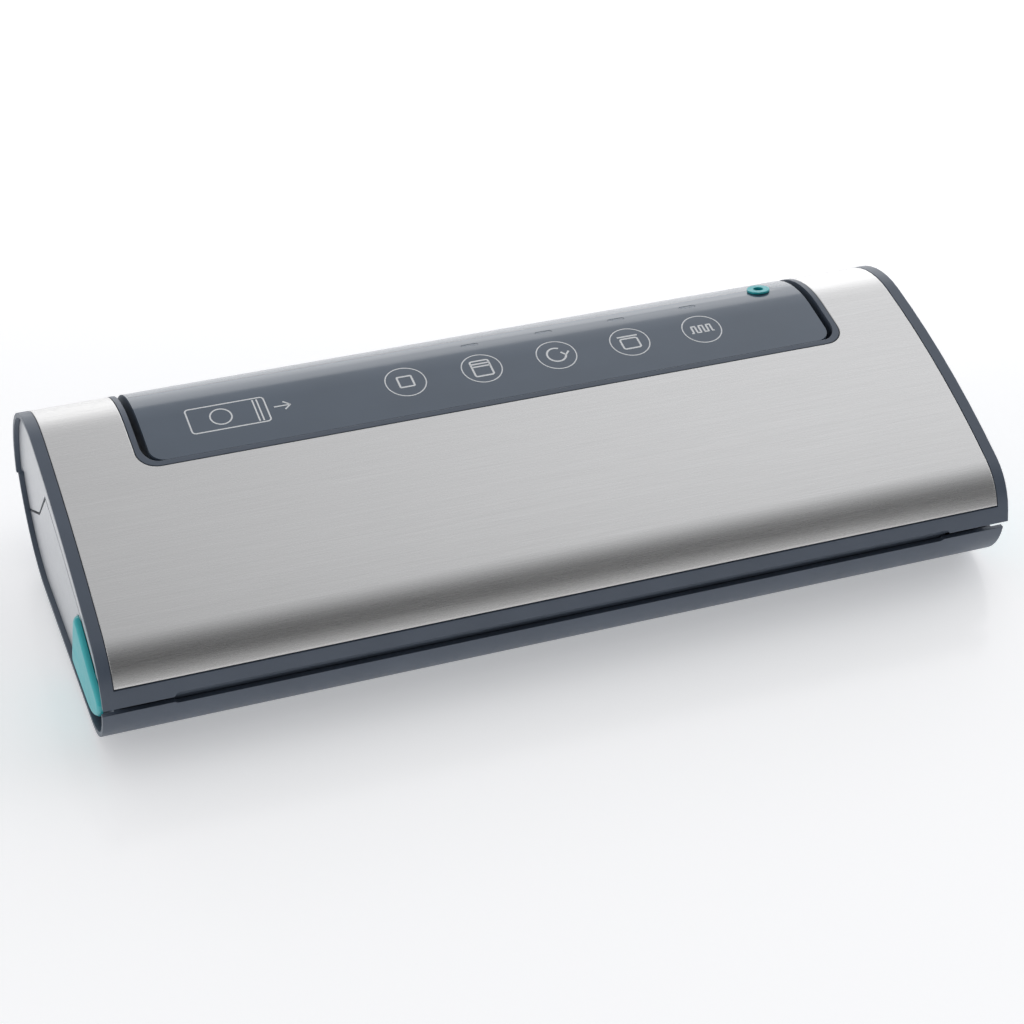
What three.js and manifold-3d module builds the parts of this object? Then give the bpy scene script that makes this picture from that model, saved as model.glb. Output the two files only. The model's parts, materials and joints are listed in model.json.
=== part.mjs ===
// Countertop vacuum sealer with a hinged steel-covered lid and a fixed control console.
// Millimetres, +Z up, front at -Y. The origin is under the middle of the appliance, on the table.
import * as THREE from 'three';
import { mergeVertices } from 'three/addons/utils/BufferGeometryUtils.js';
import Module from 'manifold-3d';

const wasm = await Module();
wasm.setup();

// ---------- driving dimensions ----------
const HALF_LENGTH = 200; // outer ends of the lid's and base's rims
const HALF_DEPTH = 86.5; // front of the lid band and rear of the lid
const RIM_INNER = 195; // where a rim's top face meets the steel cover
const RIM_THICKNESS = 2;
const CHEEK_FACE = 197.8; // side panels sit 2.2 mm inside the rims
const CHEEK_BACK = 195.3;
const WALL_INNER = 192.6; // inner face of the end walls behind the side panels
const GAP = 0.3; // clearance between neighbouring pieces

const LID_BOTTOM = 31.4; // lower edge of the lid at the front
const LID_REAR_BOTTOM = 34.4;
const LID_SHELL = 3; // depth of the lid frame's skin below the steel's surface
const STEEL_THICKNESS = 0.7;
const STEEL_FRONT_EDGE = 39.3; // height of the steel's lower edge above the front band
const STEEL_REAR_EDGE = 36.6;

const BASE_BOTTOM = 2.5;
const BASE_WALL = 2.4;
const BASE_FRONT = -83.7;
const LIP_TOP = 26.4;
const BASE_REAR_TOP = 33;
// At the rear the lid's end rims reach down past the base's, which reach up inside them.
const HOOPS = { lidEnd: 32.4, baseEnd: 35.3, room: 5.2 };

const HINGE = { y: 79, z: 34.5, pinRadius: 1.7, boreRadius: 1.85 };

// Hole in the lid and its steel for the console.
const NOTCH = { halfWidth: 161, front: 3, radius: 9, border: 2.6 };
const CONSOLE = { halfWidth: 155, front: 5.9, radius: 6.5, wall: 2.2 };
const KEY = { pitch: 34.75, first: -39, y: 25.7 }; // five touch keys along the console
const LAMP = { y: 44, length: 7.6, width: 1.9 };
const PORT = { x: 138, y: 48, radius: 5.2, bore: 2.3 };

const SPLIT_DEPTH = 22; // distance from the lid's outline down to the side parting line
const PEAK_Y = 23; // parting line: peak, valley and heel behind it
const VALLEY = [44.4, 37.6];
const HEEL = [70.5, 22];

const SLOT = { halfWidth: 171.5, top: 33.1, bottom: 25.6, radius: 2.4 }; // bag slot in the front
const DECK_TOP = 29.5;
const DECK_THICKNESS = 2.2;
const LINER = { bottom: 31.6, top: 36.2, front: -81.6, halfLength: 190 };
const SEAL = { y: -73, halfLength: 151, width: 9.6 }; // seal bar under the bag's mouth
const GASKET = { y: -39, halfLength: 172, halfDepth: 25, radius: 14, width: 6 };
const TROUGH = {
  halfLength: 150,
  front: -53,
  rear: -25,
  radius: 5,
  floor: 17,
  wall: 1.6,
  flange: 3.4,
};

// ---------- colours ----------
const material = (color, roughness, metalness = 0) => () =>
  new THREE.MeshStandardMaterial({ color, roughness, metalness });
const slate = material(0x4b5563, 0.45);
const slateGloss = material(0x46505f, 0.18);
const silver = material(0xb9bcc0, 0.35);
const teal = material(0x2fa5ae, 0.35);
const steel = material(0xb4b1ae, 0.32, 1);
const plainSteel = material(0xa7a9ab, 0.3, 1);
const blackRubber = material(0x202224, 0.85);
const blackPlastic = material(0x26282b, 0.5);
const silicone = material(0x8f2f2a, 0.6);
const tapeBrown = material(0x8a6a48, 0.7);
const clearLamp = material(0x8d97a3, 0.3);
const boardGreen = material(0x1f5b3a, 0.5);
const copper = material(0x9a5a32, 0.4, 1);
const hoseClear = material(0xcfd2d0, 0.35);

// ---------- solid modelling ----------
const asSolid = (geometry) => {
  const bare = geometry.clone();
  bare.deleteAttribute('normal');
  bare.deleteAttribute('uv');
  const merged = mergeVertices(bare, 1e-4);
  return new wasm.Manifold(
    new wasm.Mesh({
      numProp: 3,
      vertProperties: new Float32Array(merged.attributes.position.array),
      triVerts: new Uint32Array(merged.index.array),
    }),
  );
};

const asGeometry = (solid) => {
  const mesh = solid.getMesh();
  const geometry = new THREE.BufferGeometry();
  const positions = new Float32Array(mesh.vertProperties);
  geometry.setAttribute('position', new THREE.BufferAttribute(positions, 3));
  geometry.setIndex(new THREE.BufferAttribute(new Uint32Array(mesh.triVerts), 1));
  const flat = geometry.toNonIndexed();
  flat.computeVertexNormals();
  return flat;
};

const join = (first, ...others) => others.reduce((sum, next) => sum.add(next), first);
const cut = (first, ...others) => others.reduce((rest, next) => rest.subtract(next), first);

const box = (x0, x1, y0, y1, z0, z1) => {
  const geometry = new THREE.BoxGeometry(x1 - x0, y1 - y0, z1 - z0);
  geometry.translate((x0 + x1) / 2, (y0 + y1) / 2, (z0 + z1) / 2);
  return asSolid(geometry);
};

// The same box on the left and the right.
const boxPair = (x0, x1, ...rest) => join(box(x0, x1, ...rest), box(-x1, -x0, ...rest));

const shapeOf = (points) => new THREE.Shape(points.map(([a, b]) => new THREE.Vector2(a, b)));

// Turns a flat [y, z] shape drawn along +Z so that it is drawn along +X, starting at x0.
const sideways = new THREE.Matrix4().makeBasis(
  new THREE.Vector3(0, 1, 0),
  new THREE.Vector3(0, 0, 1),
  new THREE.Vector3(1, 0, 0),
);
const drawnSideways = (shape, x0, settings) => {
  const geometry = new THREE.ExtrudeGeometry(shape, settings);
  geometry.applyMatrix4(sideways);
  geometry.translate(x0, 0, 0);
  return asSolid(geometry);
};

// A side-view outline of [y, z] points, drawn out from x0 to x1.
const sidePlate = (points, x0, x1) =>
  drawnSideways(shapeOf(points), x0, { depth: x1 - x0, bevelEnabled: false });
const sidePlatePair = (points, x0, x1) =>
  join(sidePlate(points, x0, x1), sidePlate(points, -x1, -x0));

// A front-view outline of [x, z] points, drawn back from y0 to y1.
const frontPlate = (points, y0, y1) => {
  const settings = { depth: y1 - y0, bevelEnabled: false };
  const geometry = new THREE.ExtrudeGeometry(shapeOf(points), settings);
  geometry.rotateX(Math.PI / 2);
  geometry.translate(0, y1, 0);
  return asSolid(geometry);
};

// A plan-view shape drawn up from z0 to z1.
const planPrism = (shape, z0, z1, curveSegments = 4) => {
  const settings = { depth: z1 - z0, bevelEnabled: false, curveSegments };
  const geometry = new THREE.ExtrudeGeometry(shape, settings);
  geometry.translate(0, 0, z0);
  return asSolid(geometry);
};

const roundedRectangle = (x0, x1, y0, y1, radius) => {
  const shape = new THREE.Shape();
  shape.moveTo(x0 + radius, y0);
  shape.lineTo(x1 - radius, y0);
  shape.absarc(x1 - radius, y0 + radius, radius, -Math.PI / 2, 0);
  shape.lineTo(x1, y1 - radius);
  shape.absarc(x1 - radius, y1 - radius, radius, 0, Math.PI / 2);
  shape.lineTo(x0 + radius, y1);
  shape.absarc(x0 + radius, y1 - radius, radius, Math.PI / 2, Math.PI);
  shape.lineTo(x0, y0 + radius);
  shape.absarc(x0 + radius, y0 + radius, radius, Math.PI, 1.5 * Math.PI);
  return shape;
};

const cylinder = (radius, x, y, z0, z1, segments = 16) => {
  const geometry = new THREE.CylinderGeometry(radius, radius, z1 - z0, segments);
  geometry.rotateX(Math.PI / 2);
  geometry.translate(x, y, (z0 + z1) / 2);
  return asSolid(geometry);
};

const crossCylinder = (radius, x0, x1, y, z, segments = 16) => {
  const geometry = new THREE.CylinderGeometry(radius, radius, x1 - x0, segments);
  geometry.rotateZ(Math.PI / 2);
  geometry.translate((x0 + x1) / 2, y, z);
  return asSolid(geometry);
};

// ---------- outlines ----------
const radians = THREE.MathUtils.degToRad;

// Walks from a [y, z] start on a heading, through straights { length } and arcs { radius, turn }.
// Turns are in degrees, to the left when positive. Arcs are cut into chords within 0.08 mm.
const walk = (start, heading, steps) => {
  const points = [start];
  let direction = radians(heading);
  for (const step of steps) {
    const [y, z] = points.at(-1);
    if (step.length !== undefined) {
      points.push([y + step.length * Math.cos(direction), z + step.length * Math.sin(direction)]);
      continue;
    }
    const turn = radians(step.turn);
    const side = Math.sign(turn);
    const centre = [
      y - side * step.radius * Math.sin(direction),
      z + side * step.radius * Math.cos(direction),
    ];
    const chords = Math.max(2, Math.ceil(Math.abs(turn) / (2 * Math.acos(1 - 0.08 / step.radius))));
    for (let i = 1; i <= chords; i += 1) {
      const angle = direction + (turn * i) / chords;
      points.push([
        centre[0] + side * step.radius * Math.sin(angle),
        centre[1] - side * step.radius * Math.cos(angle),
      ]);
    }
    direction += turn;
  }
  return points;
};

// The lid's side outline, moved inwards by a depth: front band, nose, long slope, crest, rear.
const LID_LEAN = 76.6;
const NOSE = { radius: 26, turn: -52.7 };
const SLOPE = { radius: 400, turn: -15 };
const CREST_HEADING = LID_LEAN + NOSE.turn + SLOPE.turn;
const lidFront = (depth, frontBottom) => {
  const lean = radians(LID_LEAN);
  const drop = LID_BOTTOM - frontBottom;
  const start = [-HALF_DEPTH - drop / Math.tan(lean) + depth / Math.sin(lean), frontBottom];
  return walk(start, LID_LEAN, [
    { length: 5.5 + drop / Math.sin(lean) - depth / Math.tan(lean) },
    { radius: NOSE.radius - depth, turn: NOSE.turn },
    { radius: SLOPE.radius - depth, turn: SLOPE.turn },
  ]);
};
// The crest is one arc that ends upright at the rear of the lid.
const CREST = (() => {
  const [y, z] = lidFront(0, LID_BOTTOM).at(-1);
  const heading = radians(CREST_HEADING);
  const radius = (HALF_DEPTH - y) / (1 + Math.sin(heading));
  return { radius, y: HALF_DEPTH - radius, z: z - radius * Math.cos(heading) };
})();
const lidOutline = (depth, rearBottom = LID_REAR_BOTTOM, frontBottom = LID_BOTTOM) => {
  const front = lidFront(depth, frontBottom);
  const crest = { radius: CREST.radius - depth, turn: -90 - CREST_HEADING };
  const overTheCrest = walk(front.at(-1), CREST_HEADING, [crest]).slice(1);
  return [...front, ...overTheCrest, [HALF_DEPTH - depth, rearBottom]];
};

// The base's side outline, moved inwards by a depth: lip, front curve, flat bottom, rear curve.
const BASE_FRONT_RADIUS = 26.3;
const BASE_REAR_RADIUS = 46.4;
const BASE_REAR_START = 36;
const baseOutline = (depth, lipTop = LIP_TOP, rearTop = BASE_REAR_TOP) => {
  const frontRadius = BASE_FRONT_RADIUS - depth;
  const frontCentre = BASE_FRONT + BASE_FRONT_RADIUS;
  // The lip is upright above the front curve's centre, and starts part of the way round it if lower.
  const curveTop = Math.min(lipTop, BASE_BOTTOM + BASE_FRONT_RADIUS);
  const skipped = Math.asin((BASE_BOTTOM + BASE_FRONT_RADIUS - curveTop) / frontRadius);
  const upright = lipTop > curveTop ? [[BASE_FRONT + depth, lipTop]] : [];
  const rearRadius = BASE_REAR_RADIUS - depth;
  const rearTurn = Math.acos((BASE_BOTTOM + BASE_REAR_RADIUS - rearTop) / rearRadius);
  const degrees = THREE.MathUtils.radToDeg;
  return [
    ...upright,
    ...walk([frontCentre - frontRadius * Math.cos(skipped), curveTop], degrees(skipped) - 90, [
      { radius: frontRadius, turn: 90 - degrees(skipped) },
      { length: BASE_REAR_START - frontCentre },
      { radius: rearRadius, turn: degrees(rearTurn) },
    ]),
  ];
};

const band = (outer, inner) => [...outer, ...inner.slice().reverse()];

// The parting line between lid and base on the side panels, from the front to the heel of the tail.
// The base's edge is stepped back from the lid's by a clearance.
const partingLine = (frontHeight, clearance) => {
  const depth = SPLIT_DEPTH + clearance;
  const slope = lidOutline(depth, LID_REAR_BOTTOM, frontHeight).filter(([y]) => y < PEAK_Y);
  const peakHeight = slope.at(-1)[1] + (PEAK_Y - slope.at(-1)[0]) * Math.tan(radians(10));
  const back = ([y, z]) => [y - 0.62 * clearance, z - 0.78 * clearance];
  return [...slope, [PEAK_Y - clearance, peakHeight], back(VALLEY), back(HEEL)];
};

const behindHeel = (outline) => outline.filter(([y]) => y > HEEL[0] + 0.6);

// Side view of the lid's end, with its tail reaching down inside the base's rim.
const lidEnd = (depth) => [
  ...lidOutline(depth),
  [77.2 + HOOPS.room, LID_REAR_BOTTOM],
  [77.2 + HOOPS.room, 37],
  [77.2, 37],
  ...behindHeel(baseOutline(RIM_THICKNESS + 0.6)).reverse(),
  ...partingLine(LID_BOTTOM, 0).reverse(),
];

// Side view of the base's end, under the parting line.
const baseEnd = (outerDepth, innerDepth, clearance = 0.5) => [
  ...baseOutline(outerDepth),
  ...behindHeel(baseOutline(innerDepth)).reverse(),
  ...partingLine(LIP_TOP, clearance).reverse(),
];

// ---------- assembly helpers ----------
const appliance = new THREE.Group();
appliance.name = 'vacuum_sealer';

const addPart = (name, solid, look) => {
  const mesh = new THREE.Mesh(asGeometry(solid), look());
  mesh.name = name;
  appliance.add(mesh);
};
const SIDES = [
  { label: 'left', sign: -1 },
  { label: 'right', sign: 1 },
];
// A piece modelled on the right is mirrored to make its partner on the left.
const addBothSides = (name, solid, look) => {
  for (const { label, sign } of SIDES) {
    addPart(`${name}_${label}`, sign > 0 ? solid : solid.mirror([1, 0, 0]), look);
  }
};

// ---------- lid ----------
// Direction in which the lid's front edge of the notch moves as the lid starts to open.
const notchFrontHeight = 79.3;
const swingTilt = Math.atan2(notchFrontHeight - HINGE.z, HINGE.y - NOTCH.front);

// A plan-view hole for the console, leaning along the opening motion so that the lid swings clear.
const notchHole = (halfWidth, front, radius, lean) => {
  const plan = roundedRectangle(-halfWidth, halfWidth, 0, 160, radius);
  const geometry = new THREE.ExtrudeGeometry(plan, {
    depth: 200,
    bevelEnabled: false,
    curveSegments: 4,
  });
  geometry.translate(0, 0, -100);
  geometry.rotateX(-lean);
  geometry.translate(0, front, notchFrontHeight - 0.2);
  return asSolid(geometry);
};

const bagSlot = (() => {
  const { halfWidth, top, bottom, radius } = SLOT;
  const mouth = roundedRectangle(-halfWidth, halfWidth, bottom, top, radius);
  const geometry = new THREE.ExtrudeGeometry(mouth, {
    depth: 20,
    bevelEnabled: false,
    curveSegments: 4,
  });
  geometry.rotateX(Math.PI / 2);
  geometry.translate(0, -78, 0);
  return asSolid(geometry);
})();

const coverSpace = (depth, halfLength, margin) => {
  const skin = sidePlate(band(lidOutline(-3, 30), lidOutline(depth, 30)), -halfLength, halfLength);
  const belowFront = box(-210, 210, -100, 0, 20, STEEL_FRONT_EDGE - margin);
  const belowRear = box(-210, 210, 0, 100, 20, STEEL_REAR_EDGE - margin);
  return cut(skin, belowFront, belowRear);
};

const lidOuterBlock = sidePlate(lidOutline(0), -HALF_LENGTH, HALF_LENGTH);

const lidSteel = cut(
  coverSpace(STEEL_THICKNESS, RIM_INNER - 0.3, 0).intersect(lidOuterBlock),
  notchHole(NOTCH.halfWidth, NOTCH.front, NOTCH.radius, 0),
);
addPart('lid_steel_cover', lidSteel, steel);

const notchInner = NOTCH.halfWidth - NOTCH.border;
const lidSkin = sidePlate(band(lidOutline(0), lidOutline(LID_SHELL)), -RIM_INNER, RIM_INNER);
const steelPocket = cut(
  coverSpace(STEEL_THICKNESS + 0.25, RIM_INNER, 0.6),
  notchHole(NOTCH.halfWidth - 0.3, NOTCH.front + 0.3, NOTCH.radius, 0),
);
const lidRims = sidePlatePair(
  band(lidOutline(0, HOOPS.lidEnd), lidOutline(RIM_THICKNESS, HOOPS.lidEnd)),
  WALL_INNER,
  HALF_LENGTH,
);
const lidEndWalls = sidePlatePair(lidEnd(0), WALL_INNER, RIM_INNER);
// Side skirts along the arms, facing the console's ends.
const armSkirts = cut(
  sidePlatePair(band(lidOutline(0), lidOutline(13)), notchInner, NOTCH.halfWidth),
  box(-HALF_LENGTH, HALF_LENGTH, -100, 12, 0, 100),
  box(-HALF_LENGTH, HALF_LENGTH, 0, 100, 0, 48),
);
const hingeLug = sidePlatePair(
  [
    ...walk([HINGE.y - 4, HINGE.z], -90, [{ radius: 4, turn: 180 }]),
    [HINGE.y + 5.5, 46],
    [HINGE.y + 4.5, 58],
    [HINGE.y - 4, 58],
  ],
  180,
  183.6,
).intersect(sidePlate(lidOutline(1.5, 20), -HALF_LENGTH, HALF_LENGTH));
const hingeBores = join(
  crossCylinder(HINGE.boreRadius, 179, 184.4, HINGE.y, HINGE.z),
  crossCylinder(HINGE.boreRadius, -184.4, -179, HINGE.y, HINGE.z),
);
const lidFrame = cut(
  join(lidSkin, lidRims, lidEndWalls, armSkirts, hingeLug),
  steelPocket,
  notchHole(notchInner, NOTCH.front + NOTCH.border, NOTCH.radius - 2, swingTilt),
  bagSlot,
  hingeBores,
);
addPart('lid_frame', lidFrame, slate);

const lidCheek = sidePlate(lidEnd(RIM_THICKNESS + GAP), CHEEK_BACK, CHEEK_FACE);
addBothSides('lid_cheek', lidCheek, silver);

// Underside of the lid: a thick pan with the upper gasket's groove, and a curved wall behind it
// that clears the front of the console as the lid swings.
const linerRear = -9;
const swingRadius = Math.hypot(HINGE.y - NOTCH.front - NOTCH.border, notchFrontHeight - HINGE.z);
const swingArc = (radius, lowAngle, highAngle) => {
  const points = [];
  for (let i = 0; i <= 8; i += 1) {
    const angle = radians(180 - lowAngle - ((highAngle - lowAngle) * i) / 8);
    points.push([HINGE.y + radius * Math.cos(angle), HINGE.z + radius * Math.sin(angle)]);
  }
  return points;
};
const linerPan = planPrism(
  roundedRectangle(-LINER.halfLength, LINER.halfLength, LINER.front, linerRear, 3),
  LINER.bottom,
  LINER.top,
  3,
);
const linerWall = sidePlate(
  band(swingArc(swingRadius + 0.6, 0, 26.4), swingArc(swingRadius + 2.8, 0, 26.4)),
  GAP - notchInner,
  notchInner - GAP,
);

// A ring with the gasket's plan, wider by a clearance on every side.
const gasketLoop = (clearance, z0, z1) => {
  const slab = (inset) => {
    const halfLength = GASKET.halfLength - inset;
    const front = GASKET.y - GASKET.halfDepth + inset;
    const rear = GASKET.y + GASKET.halfDepth - inset;
    const radius = GASKET.radius - inset;
    return planPrism(roundedRectangle(-halfLength, halfLength, front, rear, radius), z0, z1);
  };
  return cut(slab(-clearance), slab(GASKET.width + clearance));
};
const LOWER_GASKET = { bottom: 28.4, top: 31.1 };
const UPPER_GASKET = { bottom: 31.4, top: 34.2 };
const lidChamber = planPrism(
  roundedRectangle(-TROUGH.halfLength, TROUGH.halfLength, TROUGH.front, TROUGH.rear, TROUGH.radius),
  LINER.bottom - 1,
  LINER.bottom + 2.6,
  3,
);
const pressureChannel = box(
  -SEAL.halfLength - 0.4,
  SEAL.halfLength + 0.4,
  SEAL.y - 4.4,
  SEAL.y + 4.4,
  LINER.bottom - 1,
  LINER.bottom + 3.4,
);
const lidLiner = cut(
  join(linerPan, linerWall),
  gasketLoop(GAP, LINER.bottom - 1, UPPER_GASKET.top + GAP),
  lidChamber,
  pressureChannel,
);
addPart('lid_liner', lidLiner, slate);
addPart('upper_gasket', gasketLoop(0, UPPER_GASKET.bottom, UPPER_GASKET.top), blackRubber);
// A long box above or below the bag's mouth, centred on the seal's line.
const sealBox = (halfLength, halfWidth, z0, z1) =>
  box(-halfLength, halfLength, SEAL.y - halfWidth, SEAL.y + halfWidth, z0, z1);
const pressureStrip = sealBox(SEAL.halfLength, 4, LINER.bottom - 0.7, LINER.bottom + 3.1);
addPart('pressure_strip', pressureStrip, silicone);

// Hooks under the lid's front corners, one inside each side latch.
const CATCH = { x0: 184, x1: 186.6, front: -61, rear: -50, bottom: 15.5, nose: 181.6 };
const lidCatch = frontPlate([
  [CATCH.x0, LINER.bottom - GAP],
  [CATCH.x1 + 2.2, LINER.bottom - GAP],
  [CATCH.x1, LINER.bottom - 4],
  [CATCH.x1, CATCH.bottom],
  [CATCH.x0, CATCH.bottom],
  [CATCH.nose, CATCH.bottom + 2.5],
  [CATCH.nose, CATCH.bottom + 4],
  [CATCH.x0, CATCH.bottom + 4],
], CATCH.front, CATCH.rear);
addBothSides('lid_catch', lidCatch, plainSteel);

// ---------- base ----------
// The button fills the front of the side panel, from a slanted rear edge to near the lip's corner.
const BUTTON_CORNERS = [
  [-34, 42.4],
  [-62.5, 29.3],
  [-77, 26.5],
  [-68.5, 13.5],
  [-56.5, 6.2],
  [-18.5, 6.2],
];
const BUTTON_CORNER_RADIUS = 6.5;
const roundedPolygon = (corners, radius) => {
  const shape = new THREE.Shape();
  corners.forEach((corner, index) => {
    const here = new THREE.Vector2(...corner);
    const before = new THREE.Vector2(...corners.at(index - 1));
    const after = new THREE.Vector2(...corners[(index + 1) % corners.length]);
    const enter = here.clone().add(before.sub(here).setLength(radius));
    const leave = here.clone().add(after.sub(here).setLength(radius));
    if (index === 0) {
      shape.moveTo(enter.x, enter.y);
    } else {
      shape.lineTo(enter.x, enter.y);
    }
    shape.quadraticCurveTo(here.x, here.y, leave.x, leave.y);
  });
  return shape;
};
const growCorners = (corners, amount) => {
  const centre = [-45, 20];
  return corners.map(([y, z]) => {
    const reach = Math.hypot(y - centre[0], z - centre[1]);
    const factor = 1 + amount / reach;
    return [centre[0] + (y - centre[0]) * factor, centre[1] + (z - centre[1]) * factor];
  });
};
// The button's stem passes through a hole in the end wall.
const STEM = { front: -60.5, rear: -43.5, bottom: 16, top: 26 };
const stemHoles = boxPair(190, 197, STEM.front - 1, STEM.rear + 1, STEM.bottom - 1, STEM.top + 1);
const tub = sidePlate(band(baseOutline(0), baseOutline(BASE_WALL)), -RIM_INNER, RIM_INNER);
const baseRims = sidePlatePair(
  band(
    baseOutline(0, LIP_TOP, HOOPS.baseEnd),
    baseOutline(RIM_THICKNESS, LIP_TOP, HOOPS.baseEnd),
  ),
  WALL_INNER,
  HALF_LENGTH,
);
const baseEndWalls = sidePlatePair(baseEnd(0, RIM_THICKNESS), WALL_INNER, RIM_INNER);
// Closes the pocket behind the lid's tail.
const tailPocketWalls = sidePlatePair(
  [
    ...baseOutline(1, LIP_TOP, 32).filter(([y]) => y > BASE_REAR_START),
    [BASE_REAR_START, 32],
  ],
  190.2,
  192.2,
);
// The ears rise from the rear wall, around the hinge pins.
const EAR_RADIUS = 4.2;
const hingeEars = sidePlatePair(
  [
    [66, 18],
    [71.5, 20.5],
    [HINGE.y - 1.8, 30],
    ...walk([HINGE.y, HINGE.z - EAR_RADIUS], 0, [{ radius: EAR_RADIUS, turn: 180 }]),
    [68, HINGE.z + 2],
  ],
  184,
  190.4,
);
const vents = [];
for (let i = 0; i < 6; i += 1) {
  vents.push(box(52 + i * 9, 56 + i * 9, -5, 25, 0, 8));
}
const pinBores = join(
  crossCylinder(HINGE.boreRadius, 183, 191, HINGE.y, HINGE.z),
  crossCylinder(HINGE.boreRadius, -191, -183, HINGE.y, HINGE.z),
);
const knuckleRoom = join(
  crossCylinder(4.5, 177.8, 184, HINGE.y, HINGE.z),
  crossCylinder(4.5, -184, -177.8, HINGE.y, HINGE.z),
);
// The cord's gland stands square to the curved rear wall.
const GLAND = { x: 120, slant: 51.5, radius: 5 };
const onRearWall = (geometry) => {
  const angle = radians(GLAND.slant);
  geometry.rotateX(angle - Math.PI / 2);
  geometry.translate(
    GLAND.x,
    BASE_REAR_START + BASE_REAR_RADIUS * Math.sin(angle),
    BASE_BOTTOM + BASE_REAR_RADIUS * (1 - Math.cos(angle)),
  );
  return asSolid(geometry);
};
const glandHoleRadius = GLAND.radius + 0.2;
const glandHole = onRearWall(new THREE.CylinderGeometry(glandHoleRadius, glandHoleRadius, 12, 24));
const baseShell = cut(
  join(tub, baseRims, baseEndWalls, tailPocketWalls, hingeEars),
  bagSlot,
  stemHoles,
  pinBores,
  knuckleRoom,
  glandHole,
  ...vents,
);
addPart('base_shell', baseShell, slate);

// Deck under the lid: seal bar pocket, gasket groove, latch slots, openings for tray and console.
const deckPlate = box(-192.2, 192.2, -81, 76.5, DECK_TOP - DECK_THICKNESS, DECK_TOP);
// The block around the seal bar also closes the whole bag slot from behind.
const sealPocketWalls = sealBox(SLOT.halfWidth + 2, 7, 22.6, DECK_TOP - 1);
// A plan-view block over the trough, grown outwards by a margin.
const troughBlock = (margin, z0, z1) => {
  const halfLength = TROUGH.halfLength + margin;
  const front = TROUGH.front - margin;
  const rear = TROUGH.rear + margin;
  const plan = roundedRectangle(-halfLength, halfLength, front, rear, TROUGH.radius + margin);
  return planPrism(plan, z0, z1, 3);
};
const INTAKE = { x: 118, y: -39, radius: 4, bore: 2 };
const latchSlots = boxPair(179.6, 188.6, -66.6, -46.8, 20, 40);
const earSlots = boxPair(183.6, 193, 66, 90, 20, 40);
const insideOutline = baseOutline(BASE_WALL + GAP, DECK_TOP, DECK_TOP);
const insideShell = sidePlate(insideOutline, -HALF_LENGTH, HALF_LENGTH);
const tailPocketSlots = boxPair(189.8, 193, BASE_REAR_START - 0.5, 90, 20, 40);
const baseDeck = cut(
  join(deckPlate, sealPocketWalls).intersect(insideShell),
  tailPocketSlots,
  troughBlock(TROUGH.wall + GAP, 20, 40),
  sealBox(SEAL.halfLength + GAP, SEAL.width / 2 + GAP, 24.6, 40),
  gasketLoop(GAP, LOWER_GASKET.bottom - GAP, 40),
  latchSlots,
  earSlots,
  box(-150, 150, 10, 74, 20, 40),
);
addPart('base_deck', baseDeck, slate);
addPart('lower_gasket', gasketLoop(0, LOWER_GASKET.bottom, LOWER_GASKET.top), blackRubber);

// The tray in the trough catches liquid. It hangs by its flange, which lies on the deck.
const flangeBottom = DECK_TOP + GAP;
const dripTray = cut(
  join(
    troughBlock(TROUGH.wall, TROUGH.floor - TROUGH.wall, flangeBottom + 0.5),
    troughBlock(TROUGH.flange, flangeBottom, flangeBottom + 0.9),
  ),
  troughBlock(0, TROUGH.floor, 40),
  cylinder(INTAKE.radius + 0.3, INTAKE.x, INTAKE.y, 10, 20),
);
addPart('drip_tray', dripTray, slate);

const SEAL_BAR_TOP = 29.9;
const stripBottom = SEAL_BAR_TOP + 0.1;
const tapeBottom = stripBottom + 0.3;
addPart('seal_bar', sealBox(SEAL.halfLength, SEAL.width / 2, 24.9, SEAL_BAR_TOP), blackPlastic);
addPart('heating_strip', sealBox(149, 1.5, stripBottom, stripBottom + 0.2), plainSteel);
addPart('seal_tape', sealBox(150, 5, tapeBottom, tapeBottom + 0.15), tapeBrown);

const ring = (outer, inner, x, y, z0, z1, segments = 16) =>
  cut(cylinder(outer, x, y, z0, z1, segments), cylinder(inner, x, y, z0 - 1, z1 + 1, segments));
const intake = join(
  ring(INTAKE.radius, INTAKE.bore, INTAKE.x, INTAKE.y, 13, 22),
  ring(INTAKE.radius + 2, INTAKE.bore, INTAKE.x, INTAKE.y, TROUGH.floor + GAP, TROUGH.floor + 1.5),
);
addPart('vacuum_intake', intake, blackRubber);

// ---------- console, fixed to the base ----------
const consoleBlock = (inset, top) => {
  const { halfWidth, front, radius } = CONSOLE;
  const plan = planPrism(
    roundedRectangle(inset - halfWidth, halfWidth - inset, front + inset, 150, radius - inset),
    DECK_TOP + GAP,
    100,
  );
  return plan.intersect(sidePlate(lidOutline(top, DECK_TOP), -HALF_LENGTH, HALF_LENGTH));
};
// The hose port stands square to the crest's curve; its heights are measured from the surface.
const portPiece = (radius, bottom, top) => {
  const tilt = Math.asin((PORT.y - CREST.y) / CREST.radius);
  const geometry = new THREE.CylinderGeometry(radius, radius, top - bottom, 20);
  geometry.rotateX(Math.PI / 2);
  geometry.translate(0, 0, CREST.radius + (bottom + top) / 2);
  geometry.rotateX(-tilt);
  geometry.translate(PORT.x, CREST.y, CREST.z);
  return asSolid(geometry);
};
const portNeck = PORT.radius - 1.2;
const portHole = portPiece(portNeck + 0.2, -10, 5);
const lampHole = (index, grow) => {
  const x = KEY.first + KEY.pitch * (index + 1) + 0.7;
  return planPrism(
    roundedRectangle(
      x - LAMP.length / 2 - grow,
      x + LAMP.length / 2 + grow,
      LAMP.y - LAMP.width / 2 - grow,
      LAMP.y + LAMP.width / 2 + grow,
      LAMP.width / 2 + grow - 0.01,
    ),
    60,
    100,
    3,
  );
};
const lampIndexes = [0, 1, 2, 3];
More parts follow.
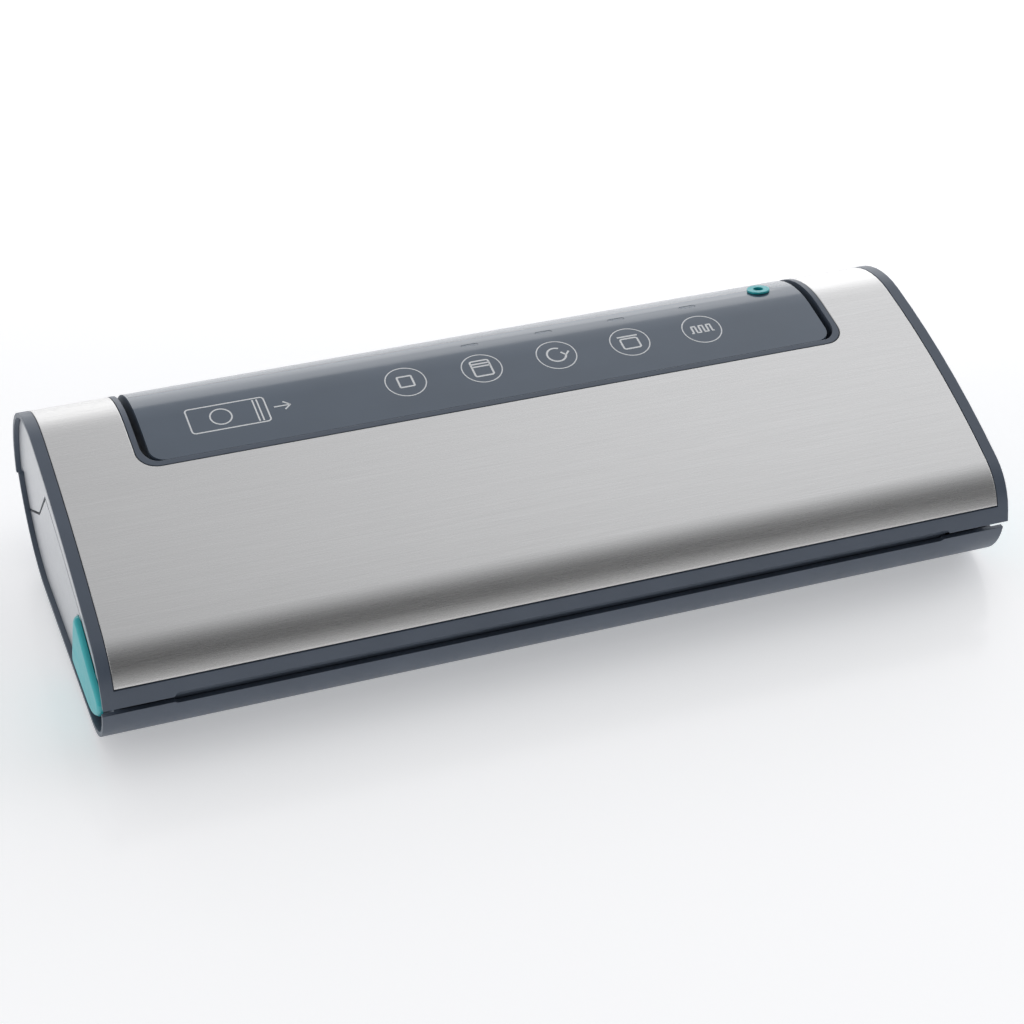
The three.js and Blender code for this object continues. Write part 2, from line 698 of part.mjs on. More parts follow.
const consoleShell = cut(
  consoleBlock(0, 0),
  cut(consoleBlock(CONSOLE.wall, CONSOLE.wall), box(-200, 200, 70, 100, 20, LID_REAR_BOTTOM + 2)),
  box(-200, 200, 74.8, 100, 20, LID_REAR_BOTTOM),
  portHole,
  ...lampIndexes.map((index) => lampHole(index, 0.12)),
);
addPart('control_console', consoleShell, slateGloss);
for (const index of lampIndexes) {
  const lens = lampHole(index, 0).intersect(
    sidePlate(band(lidOutline(0.1), lidOutline(3.6)), -HALF_LENGTH, HALF_LENGTH),
  );
  addPart(`status_lamp_${index + 1}`, lens, clearLamp);
}
const hosePort = cut(
  join(portPiece(PORT.radius, 0.1, 1), portPiece(portNeck, -15, 0.2)),
  portPiece(PORT.bore, -20, 5),
);
addPart('hose_port', hosePort, teal);

const hingePin = join(
  crossCylinder(HINGE.pinRadius, 179.2, 190.4, HINGE.y, HINGE.z),
  crossCylinder(HINGE.pinRadius + 1, 178.2, 179.6, HINGE.y, HINGE.z),
);
addBothSides('hinge_pin', hingePin, plainSteel);

// ---------- base side panels, release buttons and latches ----------
const BUTTON = { back: 197.6, face: 200.2, rounding: 2.4 };
const buttonShape = roundedPolygon(BUTTON_CORNERS, BUTTON_CORNER_RADIUS);
const buttonCap = drawnSideways(buttonShape, 190, {
  depth: BUTTON.face - 190 - BUTTON.rounding,
  bevelThickness: BUTTON.rounding,
  bevelSize: BUTTON.rounding,
  bevelOffset: -BUTTON.rounding,
  bevelSegments: 4,
  curveSegments: 3,
}).intersect(box(BUTTON.back, 210, -100, 100, 0, 60));
// The side panel stops at the button's slanted rear edge and reaches a little around its corners.
const openingShape = roundedPolygon(growCorners(BUTTON_CORNERS, 0.6), BUTTON_CORNER_RADIUS);
const buttonOpening = drawnSideways(openingShape, CHEEK_BACK - 1, {
  depth: 5,
  bevelEnabled: false,
  curveSegments: 3,
});
const aheadOfButton = sidePlate(
  [[-47, 60], [-21.3, 0], [-110, 0], [-110, 60]],
  CHEEK_BACK - 1,
  CHEEK_FACE + 1,
);
const baseCheek = cut(
  sidePlate(baseEnd(RIM_THICKNESS + GAP, RIM_THICKNESS + GAP, 1.2), CHEEK_BACK, CHEEK_FACE),
  buttonOpening,
  aheadOfButton,
);
addBothSides('base_cheek', baseCheek, silver);

// A stem through the end wall carries a frame around the lid's catch; the tooth stands inside it.
const LATCH = { front: -67.2, rear: -45.4, bottom: 17.4, top: 25, arm: 2, inner: 176.4 };
const buttonStem = box(191.4, BUTTON.back + 1, STEM.front, STEM.rear, STEM.bottom, STEM.top);
addBothSides('release_button', join(buttonCap, buttonStem), teal);
const latchFrame = cut(
  box(LATCH.inner, 191.1, LATCH.front, LATCH.rear, LATCH.bottom, LATCH.top),
  box(LATCH.inner + 2.4, 189.8, LATCH.front + LATCH.arm, LATCH.rear - LATCH.arm, 0, 40),
);
const latchTooth = frontPlate(
  [
    [LATCH.inner + 1, 21],
    [CATCH.nose - 0.5, 21],
    [CATCH.nose - 0.5, 22],
    [LATCH.inner + 2.6, LATCH.top],
    [LATCH.inner + 1, LATCH.top],
  ],
  CATCH.front,
  CATCH.rear,
);
addBothSides('latch_frame', join(latchFrame, latchTooth), blackPlastic);

// ---------- works inside the base ----------
const MOTOR = { x: 60, y: 40, z: 30, radius: 14.5 };
const motorCan = crossCylinder(MOTOR.radius, MOTOR.x - 28, MOTOR.x + 22, MOTOR.y, MOTOR.z, 24);
addPart('pump_motor', motorCan, plainSteel);
const pumpHead = join(
  box(MOTOR.x + 22.4, MOTOR.x + 48, MOTOR.y - 16, MOTOR.y + 16, MOTOR.z - 16, MOTOR.z + 20),
  crossCylinder(3, MOTOR.x + 47, MOTOR.x + 56, MOTOR.y - 8, MOTOR.z + 12, 12),
  crossCylinder(3, MOTOR.x + 47, MOTOR.x + 56, MOTOR.y + 8, MOTOR.z + 12, 12),
);
addPart('pump_head', pumpHead, blackPlastic);
const CORE = { x: -90, y: 40, z: 12 };
const transformerCore = cut(
  box(CORE.x - 24, CORE.x + 24, CORE.y - 10, CORE.y + 10, CORE.z, CORE.z + 40),
  box(CORE.x - 16, CORE.x - 8, CORE.y - 11, CORE.y + 11, CORE.z + 8, CORE.z + 32),
  box(CORE.x + 8, CORE.x + 16, CORE.y - 11, CORE.y + 11, CORE.z + 8, CORE.z + 32),
);
addPart('transformer_core', transformerCore, plainSteel);
const transformerCoil = cut(
  planPrism(
    roundedRectangle(CORE.x - 15.6, CORE.x + 15.6, CORE.y - 17, CORE.y + 17, 5),
    CORE.z + 8.4,
    CORE.z + 31.6,
    3,
  ),
  box(CORE.x - 8.4, CORE.x + 8.4, CORE.y - 10.4, CORE.y + 10.4, 0, 60),
);
addPart('transformer_coil', transformerCoil, copper);
const mainBoard = join(
  box(-50, 20, 2, 50, 8, 9.6),
  cylinder(5, -38, 30, 9.4, 26, 16),
  box(-22, -4, 22, 40, 9.4, 20),
  box(0, 14, 30, 44, 9.4, 22),
);
addPart('main_board', mainBoard, boardGreen);
const touchBoard = sidePlate(band(lidOutline(3.9), lidOutline(5.5)), -60, 122).intersect(
  box(-60, 122, 16, 52, 60, 100),
);
addPart('touch_board', touchBoard, boardGreen);

const screw = (x, y) =>
  cut(
    cylinder(3.4, x, y, 0.9, 2.3, 16),
    box(x - 2.2, x + 2.2, y - 0.4, y + 0.4, 0, 1.5),
    box(x - 0.4, x + 0.4, y - 2.2, y + 2.2, 0, 1.5),
  );
const CORNERS = [
  { label: 'front_left', x: -170, y: -48 },
  { label: 'front_right', x: 170, y: -48 },
  { label: 'rear_left', x: -170, y: 28 },
  { label: 'rear_right', x: 170, y: 28 },
];
for (const { label, x, y } of CORNERS) {
  const foot = join(cylinder(8, x, y, 0, 1.9, 20), cylinder(7, x, y, 1.8, 2.3, 20));
  addPart(`foot_${label}`, foot, blackRubber);
  addPart(`base_screw_${label}`, screw(x - 26 * Math.sign(x), y), plainSteel);
}

const gland = onRearWall(
  new THREE.LatheGeometry(
    [
      [3, -4.8],
      [6.8, -4.8],
      [6.8, -3.3],
      [GLAND.radius, -3.1],
      [GLAND.radius, 2],
      [4.2, 2.8],
      [3, 2.8],
      [3, -4.8],
    ].map(([radius, height]) => new THREE.Vector2(radius, height)),
    20,
  ),
);
addPart('cable_gland', gland, blackRubber);

// Hose from the trough's intake to the pump, and from the pump to the port in the console.
const hose = (points) => {
  const path = new THREE.CatmullRomCurve3(points.map((point) => new THREE.Vector3(...point)));
  const outline = new THREE.Shape().absarc(0, 0, 2.6, 0, 2 * Math.PI);
  const settings = { steps: 14, extrudePath: path, curveSegments: 5 };
  return asSolid(new THREE.ExtrudeGeometry(outline, settings));
};
addPart(
  'intake_hose',
  hose([
    [118, -39, 11.8],
    [118, -38.6, 10.2],
    [120, -31, 8.8],
    [126, -8, 9.4],
    [136, 22, 20],
    [128, 31, 41],
    [117, 32, 42],
  ]),
  hoseClear,
);
addPart(
  'port_hose',
  hose([[117, 48, 42], [126, 48, 43.5], [135, 46, 50], [138, 44.6, 58], [138, 44.6, 66.6]]),
  hoseClear,
);

export default appliance;
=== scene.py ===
import json
import math

import bmesh
import bpy
from mathutils import Matrix, Vector
from mathutils.bvhtree import BVHTree


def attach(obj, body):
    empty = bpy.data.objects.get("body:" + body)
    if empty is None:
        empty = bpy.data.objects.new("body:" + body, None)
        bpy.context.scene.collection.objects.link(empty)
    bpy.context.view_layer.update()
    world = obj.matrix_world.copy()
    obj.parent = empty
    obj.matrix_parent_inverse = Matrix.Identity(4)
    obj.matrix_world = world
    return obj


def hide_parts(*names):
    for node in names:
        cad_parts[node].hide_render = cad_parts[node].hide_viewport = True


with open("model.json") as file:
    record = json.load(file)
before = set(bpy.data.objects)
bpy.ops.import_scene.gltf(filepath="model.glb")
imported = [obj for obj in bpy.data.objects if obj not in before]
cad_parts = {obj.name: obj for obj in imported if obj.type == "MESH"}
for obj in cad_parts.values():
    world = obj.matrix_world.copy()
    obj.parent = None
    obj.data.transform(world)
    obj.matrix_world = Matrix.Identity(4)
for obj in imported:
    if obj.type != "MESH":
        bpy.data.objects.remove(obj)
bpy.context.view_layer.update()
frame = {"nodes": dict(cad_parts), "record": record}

MM = 0.001

BODY_OF = {
    node: body
    for body, members in frame["record"]["behaviour"]["bodies"].items()
    for node in members
}


# ---------- node materials ----------
class Look:
    """A material built round one Principled shader, its patterns placed in the frame's coordinates."""

    def __init__(self, name, colour, roughness, metallic=0.0, specular=0.5):
        self.material = bpy.data.materials.new(name)
        self.material.use_nodes = True
        self.material.diffuse_color = (*colour, 1)
        self.tree = self.material.node_tree
        self.shader = self.tree.nodes["Principled BSDF"]
        self.colour = colour
        self.roughness = roughness
        self.set(self.shader, {
            "Base Color": (*colour, 1),
            "Roughness": roughness,
            "Metallic": metallic,
            "Specular IOR Level": specular,
        })
        self.place = self.add("ShaderNodeTexCoord").outputs["Object"]
        self.normal = None

    @staticmethod
    def set(node, inputs):
        for socket, value in inputs.items():
            node.inputs[socket].default_value = value

    def add(self, kind, inputs=None, links=None, **settings):
        node = self.tree.nodes.new(kind)
        for name, value in settings.items():
            setattr(node, name, value)
        self.set(node, inputs or {})
        for socket, source in (links or {}).items():
            self.tree.links.new(source, node.inputs[socket])
        return node

    def link(self, source, socket):
        self.tree.links.new(source, self.shader.inputs[socket])

    def stretched(self, scale):
        return self.add(
            "ShaderNodeMapping", {"Scale": scale}, {"Vector": self.place}
        ).outputs["Vector"]

    def noise(self, scale, detail=2.0, vector=None, rough=0.5):
        return self.add(
            "ShaderNodeTexNoise",
            {"Scale": scale, "Detail": detail, "Roughness": rough},
            {"Vector": vector or self.place},
        ).outputs["Fac"]

    def spread(self, source, low, high, start=0.3, end=0.7):
        return self.add(
            "ShaderNodeMapRange",
            {"From Min": start, "From Max": end, "To Min": low, "To Max": high},
            {"Value": source},
        ).outputs["Result"]

    def mottle(self, source, darker, lighter):
        """Shifts the base colour between a darker and a lighter shade."""
        ramp = self.add("ShaderNodeValToRGB", links={"Fac": source})
        ends = ramp.color_ramp.elements
        ends[0].position = 0.3
        ends[1].position = 0.7
        ends[0].color = (*[c * darker for c in self.colour], 1)
        ends[1].color = (*[min(1.0, c * lighter) for c in self.colour], 1)
        self.link(ramp.outputs["Color"], "Base Color")

    def uneven_gloss(self, source, amount):
        low, high = self.roughness - amount, self.roughness + amount
        self.link(self.spread(source, max(0.02, low), high), "Roughness")

    def rounded(self, radius):
        """Shades sharp edges as if they were rounded."""
        self.normal = self.add("ShaderNodeBevel", {"Radius": radius}, samples=6).outputs["Normal"]
        self.link(self.normal, "Normal")

    def relief(self, source, height, strength=1.0):
        links = {"Height": source}
        if self.normal:
            links["Normal"] = self.normal
        self.normal = self.add(
            "ShaderNodeBump", {"Distance": height, "Strength": strength}, links
        ).outputs["Normal"]
        self.link(self.normal, "Normal")


def moulded(name, colour, roughness, grain=0.02 * MM):
    """Injection-moulded plastic: fine spark-eroded grain, uneven gloss, a little colour drift."""
    look = Look(name, colour, roughness)
    look.mottle(look.noise(45, 3), 0.95, 1.05)
    look.uneven_gloss(look.noise(180, 4), 0.04)
    look.rounded(0.35 * MM)
    look.relief(look.noise(2600, 3, rough=0.65), grain, 0.5)
    return look.material


def polished(name, colour, roughness, ends):
    """Plastic moulded against a polished tool; its ends, which face along X, are duller."""
    look = Look(name, colour, roughness, specular=0.9)
    look.mottle(look.noise(45, 3), 0.96, 1.04)
    normal = look.add("ShaderNodeNewGeometry").outputs["Normal"]
    along_x = look.add("ShaderNodeSeparateXYZ", links={"Vector": normal}).outputs["X"]
    turned = look.add("ShaderNodeMath", links={0: along_x}, operation="ABSOLUTE").outputs["Value"]
    duller = look.spread(turned, 0.0, ends - roughness, 0.6, 0.9)
    gloss = look.spread(look.noise(180, 3), roughness - 0.02, roughness + 0.02)
    total = look.add("ShaderNodeMath", links={0: gloss, 1: duller}, operation="ADD")
    look.link(total.outputs["Value"], "Roughness")
    look.relief(look.noise(900, 3), 0.001 * MM, 0.4)
    return look.material


def metallic_paint(name, colour, roughness):
    """Satin silver lacquer over plastic, with a fine sparkle of flakes."""
    look = Look(name, colour, roughness, metallic=0.35)
    look.shader.inputs["Coat Weight"].default_value = 0.25
    look.shader.inputs["Coat Roughness"].default_value = 0.2
    flakes = look.add(
        "ShaderNodeTexVoronoi", {"Scale": 5200.0}, {"Vector": look.place}
    ).outputs["Color"]
    grey = look.add("ShaderNodeRGBToBW", links={"Color": flakes}).outputs["Val"]
    look.mottle(grey, 0.93, 1.05)
    look.uneven_gloss(look.noise(220, 3), 0.04)
    look.rounded(0.35 * MM)
    look.relief(look.noise(1800, 3), 0.012 * MM, 0.5)
    return look.material


def brushed(name, colour, roughness, length=50 * MM, width=0.16 * MM):
    """Metal ground along X: streaks of the brush in its gloss, colour and relief."""
    look = Look(name, colour, roughness, metallic=1.0)
    look.shader.inputs["Anisotropic"].default_value = 0.75
    along = look.stretched((1 / length, 1 / width, 1 / width))
    finer = look.stretched((2.6 / length, 2.4 / width, 2.4 / width))
    streaks = look.noise(1.0, 3, along, 0.6)
    fine_streaks = look.noise(1.0, 2, finer, 0.6)
    look.mottle(streaks, 0.93, 1.05)
    look.uneven_gloss(fine_streaks, 0.05)
    look.rounded(0.2 * MM)
    look.relief(streaks, 0.004 * MM, 0.35)
    look.relief(fine_streaks, 0.002 * MM, 0.35)
    geometry = look.add("ShaderNodeNewGeometry")
    # The gloss spreads across the brushing, so the tangent lies square to X in the surface.
    across = look.add(
        "ShaderNodeVectorMath", links={0: geometry.outputs["Normal"]}, operation="CROSS_PRODUCT"
    )
    across.inputs[1].default_value = (1, 0, 0)
    look.link(across.outputs["Vector"], "Tangent")
    return look.material


def plain_metal(name, colour, roughness):
    """Drawn or plated steel with faint scuffs."""
    look = Look(name, colour, roughness, metallic=1.0)
    look.mottle(look.noise(120, 4), 0.9, 1.06)
    look.uneven_gloss(look.noise(900, 4, rough=0.7), 0.09)
    look.rounded(0.15 * MM)
    look.relief(look.noise(1400, 4), 0.01 * MM, 0.4)
    return look.material


def rubbery(name, colour, roughness, grain_scale=1500.0, grain=0.03 * MM):
    """Rubber or silicone: dull, with a dusty, slightly pitted skin."""
    look = Look(name, colour, roughness, specular=0.35)
    look.mottle(look.noise(260, 4), 0.82, 1.25)
    look.uneven_gloss(look.noise(500, 3), 0.07)
    look.rounded(0.3 * MM)
    look.relief(look.noise(grain_scale, 4, rough=0.7), grain, 0.7)
    return look.material


def closed_foam(name, colour):
    """Closed-cell foam of a gasket: a skin full of small pores."""
    look = Look(name, colour, 0.88, specular=0.3)
    pores = look.add(
        "ShaderNodeTexVoronoi", {"Scale": 1500.0}, {"Vector": look.place}
    ).outputs["Distance"]
    # Painted shade and highlight: the colour darkens in the pits of the pores and lightens on the rims
    # between them.
    look.mottle(pores, 0.7, 1.5)
    look.uneven_gloss(look.noise(400, 3), 0.06)
    look.rounded(0.5 * MM)
    look.relief(pores, 0.12 * MM, 0.8)
    return look.material


def coated_cloth(name, colour, thread=0.55 * MM):
    """Glass cloth with a slippery coating: a plain weave under a satin film."""
    look = Look(name, colour, 0.42)
    look.shader.inputs["Coat Weight"].default_value = 0.4
    look.shader.inputs["Coat Roughness"].default_value = 0.25
    waves = []
    for axis in ("X", "Y"):
        wave = look.add(
            "ShaderNodeTexWave",
            {"Scale": math.pi / (10 * thread), "Distortion": 0.4, "Detail": 1.0},
            {"Vector": look.place},
            bands_direction=axis,
        )
        waves.append(wave.outputs["Fac"])
    weave = look.add(
        "ShaderNodeMath", links={0: waves[0], 1: waves[1]}, operation="MULTIPLY"
    ).outputs["Value"]
    look.mottle(weave, 0.8, 1.15)
    look.uneven_gloss(look.noise(300, 3), 0.06)
    look.relief(weave, 0.05 * MM, 0.6)
    return look.material


def windings(name, colour, wire=0.5 * MM):
    """Enamelled wire wound in close turns round a vertical limb."""
    look = Look(name, colour, 0.35, metallic=0.9)
    turns = look.add(
        "ShaderNodeTexWave",
        {"Scale": math.pi / (10 * wire), "Distortion": 0.6, "Detail": 1.0, "Detail Scale": 0.5},
        {"Vector": look.place},
        bands_direction="Z",
    ).outputs["Fac"]
    # Painted shade and highlight: the colour darkens to half in the grooves between turns and lightens
    # on their crests.
    look.mottle(turns, 0.5, 1.15)
    look.uneven_gloss(look.noise(300, 3), 0.08)
    look.relief(turns, 0.2 * MM, 0.8)
    return look.material


def circuit(name, colour):
    """Lacquered board with copper tracks showing as lighter lines."""
    look = Look(name, colour, 0.3)
    tracks = look.add(
        "ShaderNodeTexBrick",
        {"Scale": 160.0, "Mortar Size": 0.03, "Brick Width": 0.9, "Row Height": 0.35},
        {"Vector": look.place},
    ).outputs["Fac"]
    look.mottle(tracks, 0.8, 1.7)
    look.uneven_gloss(look.noise(400, 3), 0.06)
    look.rounded(0.2 * MM)
    look.relief(tracks, 0.03 * MM, 0.6)
    return look.material


def frosted(name, colour, roughness, weight):
    """Milky translucent plastic of a lamp window or a soft hose."""
    look = Look(name, colour, roughness)
    look.shader.inputs["Subsurface Weight"].default_value = weight
    look.shader.inputs["Subsurface Radius"].default_value = (1.5 * MM, 1.6 * MM, 1.8 * MM)
    look.mottle(look.noise(600, 3), 0.95, 1.05)
    look.uneven_gloss(look.noise(900, 3), 0.05)
    look.rounded(0.15 * MM)
    look.relief(look.noise(3000, 2), 0.01 * MM, 0.5)
    return look.material


def ink(name, colour):
    """Screen-printed ink, a little thicker in places."""
    look = Look(name, colour, 0.45)
    look.mottle(look.noise(1500, 3), 0.92, 1.05)
    look.uneven_gloss(look.noise(2200, 2), 0.06)
    look.relief(look.noise(4000, 2), 0.01 * MM, 0.4)
    return look.material


LOOKS = {
    "slate_plastic": moulded("slate moulded plastic", (0.094, 0.118, 0.158), 0.42),
    "slate_gloss": polished("slate gloss plastic", (0.08, 0.112, 0.158), 0.13, 0.6),
    "silver_plastic": metallic_paint("silver lacquer", (0.54, 0.555, 0.58), 0.38),
    "teal_plastic": moulded("teal satin plastic", (0.02, 0.46, 0.50), 0.36, grain=0.01 * MM),
    "brushed_steel": brushed("brushed steel", (0.67, 0.665, 0.66), 0.27),
    "plain_steel": plain_metal("plated steel", (0.56, 0.57, 0.58), 0.34),
    "black_rubber": closed_foam("black gasket foam", (0.02, 0.021, 0.023)),
    "black_plastic": moulded("black filled plastic", (0.022, 0.024, 0.027), 0.48, grain=0.03 * MM),
    "silicone": rubbery("red silicone", (0.30, 0.035, 0.028), 0.5, grain_scale=900.0, grain=0.02 * MM),
    "coated_tape": coated_cloth("coated glass cloth", (0.30, 0.18, 0.09)),
    "lamp_plastic": frosted("frosted lamp window", (0.20, 0.24, 0.29), 0.35, 0.2),
    "circuit_board": circuit("green circuit board", (0.016, 0.11, 0.046)),
    "copper_winding": windings("enamelled copper wire", (0.52, 0.19, 0.07)),
    "hose_rubber": frosted("milky hose", (0.70, 0.71, 0.70), 0.4, 0.4),
}
FOOT_RUBBER = rubbery("black foot rubber", (0.018, 0.018, 0.019), 0.72)
PRINT = ink("white ink", (0.86, 0.88, 0.90))

# ---------- finer copies of the CAD nodes ----------
SLOT_OF = {part["node"]: part["material_slot"] for part in frame["record"]["subparts"]}
# Nodes whose edges are rounded in the mesh, with the rounding's width.
ROUNDED_EDGES = {"control_console": 0.7 * MM, "lid_steel_cover": 0.3 * MM}
WELD_DISTANCE = 0.002 * MM
FLAT_WITHIN = math.radians(0.4)  # facets closer than this become one face
SMOOTH_BELOW = math.radians(24)  # sharper edges stay crisp
ROUND_ABOVE = math.radians(30)


def finish_of(node):
    if node.startswith("foot_"):
        return FOOT_RUBBER
    return LOOKS[SLOT_OF[node]]


def refined(node):
    """Stands for a CAD node: the same solid with flat facets merged, smooth where it is curved."""
    mesh = frame["nodes"][node].data.copy()
    mesh.name = f"{node}.fine"
    work = bmesh.new()
    work.from_mesh(mesh)
    bmesh.ops.remove_doubles(work, verts=work.verts, dist=WELD_DISTANCE)
    bmesh.ops.dissolve_limit(
        work, angle_limit=FLAT_WITHIN, verts=work.verts, edges=work.edges, delimit={"NORMAL"}
    )
    for face in work.faces:
        face.smooth = True
    for edge in work.edges:
        edge.smooth = edge.calc_face_angle(math.pi) < SMOOTH_BELOW
    work.to_mesh(mesh)
    work.free()
    mesh.materials.clear()
    mesh.materials.append(finish_of(node))
    piece = bpy.data.objects.new(f"{node}.fine", mesh)
    bpy.context.scene.collection.objects.link(piece)
    if node in ROUNDED_EDGES:
        bevel = piece.modifiers.new("rounded edges", "BEVEL")
        bevel.width = ROUNDED_EDGES[node]
        bevel.segments = 3
        bevel.limit_method = "ANGLE"
        bevel.angle_limit = ROUND_ABOVE
        bevel.harden_normals = True
    weighted = piece.modifiers.new("even shading", "WEIGHTED_NORMAL")
    weighted.keep_sharp = True
    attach(piece, BODY_OF[node])
    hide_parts(node)
    return piece


for node in sorted(frame["nodes"]):
    refined(node)

# ---------- printing on the console ----------
INK_HEIGHT = 0.05 * MM
ABOVE_EVERYTHING = 0.2
console_mesh = frame["nodes"]["control_console"].data
CONSOLE_SURFACE = BVHTree.FromPolygons(
    [vertex.co for vertex in console_mesh.vertices],
    [tuple(polygon.vertices) for polygon in console_mesh.polygons],
)


def on_console(x, y):
    """The point of the console's top above a plan position, raised by the ink's thickness."""
    hit = CONSOLE_SURFACE.ray_cast(Vector((x, y, ABOVE_EVERYTHING)), Vector((0, 0, -1)))[0]
    return (x, y, hit.z + INK_HEIGHT)


def arc(centre, radius, start, end, steps=72):
    """Plan points in millimetres along an arc, with its angles in degrees."""
    angles = [math.radians(start + (end - start) * i / steps) for i in range(steps + 1)]
    return [(centre[0] + radius * math.cos(a), centre[1] + radius * math.sin(a)) for a in angles]


def outline(centre, half_x, half_y, corner):
    """Plan points in millimetres round a rectangle with rounded corners, closed."""
    points = []
    for sign_x, sign_y, start in ((1, 1, 0), (-1, 1, 90), (-1, -1, 180), (1, -1, 270)):
        middle = (centre[0] + sign_x * (half_x - corner), centre[1] + sign_y * (half_y - corner))
        points += arc(middle, corner, start, start + 90, 6)
    return points + points[:1]


def split_long(points, longest=1.0):
    """Adds points so that a printed line can follow the curved console."""
    fine = [points[0]]
    for (x0, y0), (x1, y1) in zip(points, points[1:]):
        parts = max(1, math.ceil(math.hypot(x1 - x0, y1 - y0) / longest))
        for i in range(1, parts + 1):
            fine.append((x0 + (x1 - x0) * i / parts, y0 + (y1 - y0) * i / parts))
    return fine


def line_print(work, points, width):
    """Lays a line of ink of one width along plan points."""
    points = split_long(points)
    closed = math.dist(points[0], points[-1]) < 1e-6
    sides = []
    for i, (x, y) in enumerate(points):
        before = points[i - 1] if i else (points[-2] if closed else points[0])
        after = points[i + 1] if i + 1 < len(points) else (points[1] if closed else points[-1])
        dx, dy = after[0] - before[0], after[1] - before[1]
        reach = 0.5 * width / math.hypot(dx, dy)
        sides.append([
            work.verts.new(on_console((x - sign * dy * reach) * MM, (y + sign * dx * reach) * MM))
            for sign in (1, -1)
        ])
    for (a, b), (c, d) in zip(sides, sides[1:]):
        work.faces.new((a, b, d, c))


# Sizes of the printing, in millimetres: five touch keys in a row, each a ring round a picture.
KEYS = {"first": -39.0, "pitch": 34.75, "y": 25.7, "radius": 8.9, "line": 0.55}
SYMBOL_LINE = 0.9


def level_line(centre, reach, height):
    """A line along X, centred above or below a point."""
    x, y = centre
    return [(x - reach, y + height), (x + reach, y + height)]


def stop_symbol(centre):
    return [outline(centre, 3.2, 3.2, 0.5)]


def seal_symbol(centre):
    """A bag with a sealed strip."""
    width, height = 4.2, 4.8
    return [
        outline(centre, width, height, 1.0),
        level_line(centre, width, 2.9),
        level_line(centre, width, 1.2),
    ]


def automatic_symbol(centre):
    """An arrow running round."""
    x, y = centre
    turn = arc(centre, 4.2, 60, 350, 40)
    tip = [(x + 2.3, y + 1.2), (x + 4.2, y - 0.9), (x + 6.1, y + 1.2)]
    return [turn, tip]


def canister_symbol(centre):
    """A jar under its lid."""
    x, y = centre
    return [outline((x, y - 1.0), 4.0, 3.2, 1.0), level_line(centre, 4.8, 3.6)]


def pulse_symbol(centre):
    """Three square pulses."""
    x, y = centre
    low, high = y - 2.0, y + 2.2
    wave = [(x - 5.4, low)]
    for middle in (x - 3.6, x, x + 3.6):
        wave += [(middle - 0.9, low), (middle - 0.9, high), (middle + 0.9, high), (middle + 0.9, low)]
    return [wave + [(x + 5.4, low)]]


KEY_SYMBOLS = [stop_symbol, seal_symbol, automatic_symbol, canister_symbol, pulse_symbol]


def printed(name, lines):
    """One piece of thin ink from (plan points, width) lines."""
    work = bmesh.new()
    for points, width in lines:
        line_print(work, points, width)
    mesh = bpy.data.meshes.new(name)
    work.to_mesh(mesh)
    work.free()
    mesh.materials.append(PRINT)
    piece = bpy.data.objects.new(name, mesh)
    bpy.context.scene.collection.objects.link(piece)
    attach(piece, "base")
    return piece


for index, symbol in enumerate(KEY_SYMBOLS):
    middle = (KEYS["first"] + KEYS["pitch"] * index, KEYS["y"])
    lines = [(arc(middle, KEYS["radius"], 0, 360, 96), KEYS["line"])]
    lines += [(points, SYMBOL_LINE) for points in symbol(middle)]
    printed(f"key_print_{index + 1}", lines)


def bag_picture(centre):
    """A bag with something round in it, its double seal, and an arrow for the air that leaves."""
    x, y = centre
    seal_reach = 6.6
    return [
        outline(centre, 17, 7.5, 1.6),
        [(x + 12.2, y - seal_reach), (x + 12.2, y + seal_reach)],
        [(x + 14.0, y - seal_reach), (x + 14.0, y + seal_reach)],
        [(x + 20, y), (x + 27, y)],
        [(x + 24.4, y + 2.4), (x + 27.2, y), (x + 24.4, y - 2.4)],
        arc((x - 3, y), 4.6, 0, 360, 40),
    ]


# The bag's picture stands to the left of the keys.
BAG_CENTRE = (-118.0, 24.5)
BAG_LINE = 0.7
printed("bag_print", [(points, BAG_LINE) for points in bag_picture(BAG_CENTRE)])

# ---------- floor, light and camera ----------
floor_mesh = bpy.data.meshes.new("floor")
floor_reach = 6
floor_corners = [
    (-floor_reach, -floor_reach, 0),
    (floor_reach, -floor_reach, 0),
    (floor_reach, floor_reach, 0),
    (-floor_reach, floor_reach, 0),
]
floor_mesh.from_pydata(floor_corners, [], [(0, 1, 2, 3)])
floor = bpy.data.objects.new("floor", floor_mesh)
bpy.context.scene.collection.objects.link(floor)
pale = Look("pale floor", (0.90, 0.90, 0.91), 0.16)
pale.uneven_gloss(pale.noise(3, 2), 0.01)
Look.set(pale.shader, {"Emission Color": (1, 1, 1, 1), "Emission Strength": 0.36})
floor_mesh.materials.append(pale.material)


def softbox(name, centre, target, size, power):
    """A rectangular light of the given size, in metres, and power, in watts."""
    light = bpy.data.lights.new(name, "AREA")
    light.shape = "RECTANGLE"
    light.size, light.size_y = size
    light.energy = power
    lamp = bpy.data.objects.new(name, light)
    lamp.location = centre
    lamp.rotation_mode = "QUATERNION"
    lamp.rotation_quaternion = (Vector(target) - Vector(centre)).to_track_quat("-Z", "Y")
    bpy.context.scene.collection.objects.link(lamp)


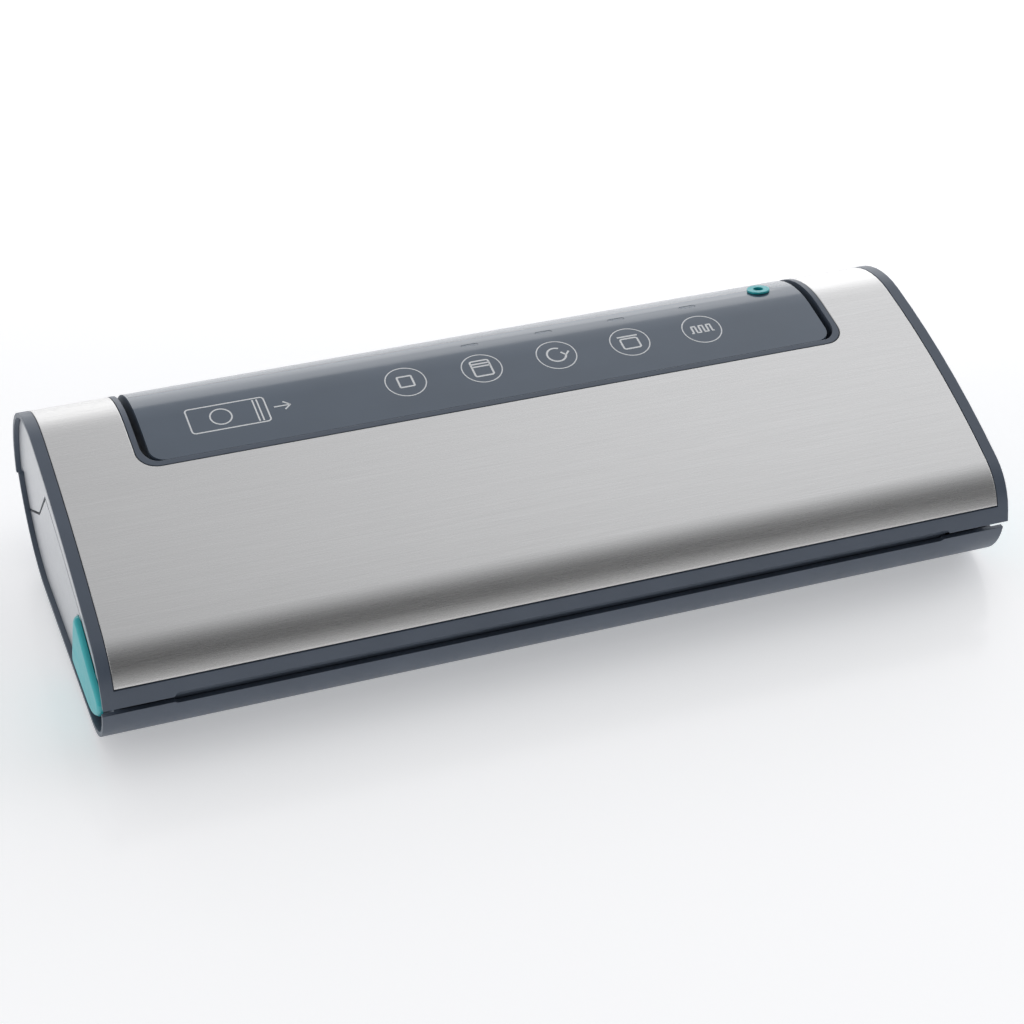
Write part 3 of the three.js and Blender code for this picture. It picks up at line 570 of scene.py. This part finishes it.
softbox("back wall", (0.9, 2.7, 0.80), (0, 0, 0.1), (4.8, 1.5), 20)
softbox("front fill", (-0.2, -2.6, 0.42), (0, 0, 0), (3.6, 0.7), 4.5)
softbox("left fill", (-2.4, -0.2, 0.8), (0, 0, 0), (1.8, 1.2), 8)
softbox("right fill", (2.6, 0.2, 1.0), (0, 0, 0), (1.8, 1.2), 7.5)


# How the room's light rises along an axis of its direction: from a share at a start to one at an end.
ROOM_RISE = {
    "X": {"From Min": -0.05, "From Max": 0.5, "To Min": 0.6, "To Max": 1.02},
    "Y": {"From Min": -0.68, "From Max": 0.1, "To Min": 0.15, "To Max": 1.0},
}


def room_light():
    """A soft room: brighter to the right, dimmer above the front."""
    world = bpy.data.worlds.new("studio")
    bpy.context.scene.world = world
    world.use_nodes = True
    tree = world.node_tree
    towards = tree.nodes.new("ShaderNodeTexCoord")
    parts = tree.nodes.new("ShaderNodeSeparateXYZ")
    tree.links.new(towards.outputs["Generated"], parts.inputs["Vector"])
    shares = []
    for axis, rise in ROOM_RISE.items():
        share = tree.nodes.new("ShaderNodeMapRange")
        share.interpolation_type = "SMOOTHSTEP"
        tree.links.new(parts.outputs[axis], share.inputs["Value"])
        Look.set(share, rise)
        shares.append(share.outputs["Result"])
    product = tree.nodes.new("ShaderNodeMath")
    product.operation = "MULTIPLY"
    tree.links.new(shares[0], product.inputs[0])
    tree.links.new(shares[1], product.inputs[1])
    background = tree.nodes["Background"]
    background.inputs["Color"].default_value = (0.97, 0.98, 1.0, 1)
    tree.links.new(product.outputs["Value"], background.inputs["Strength"])


room_light()

camera_data = bpy.data.cameras.new("camera")
camera_data.sensor_width = 36.0
camera_data.lens = 87.8
camera_data.clip_start = 0.01
camera_data.clip_end = 50.0
camera = bpy.data.objects.new("camera", camera_data)
# The camera stands in front, to the left and above. The last column is its place.
camera.matrix_world = Matrix((
    (0.93774, 0.18471, -0.29415, -0.32221),
    (-0.34663, 0.55158, -0.75869, -0.83533),
    (0.02211, 0.81341, 0.58126, 0.66259),
    (0, 0, 0, 1),
))
bpy.context.scene.collection.objects.link(camera)
bpy.context.scene.camera = camera
bpy.context.scene.view_settings.view_transform = "Standard"
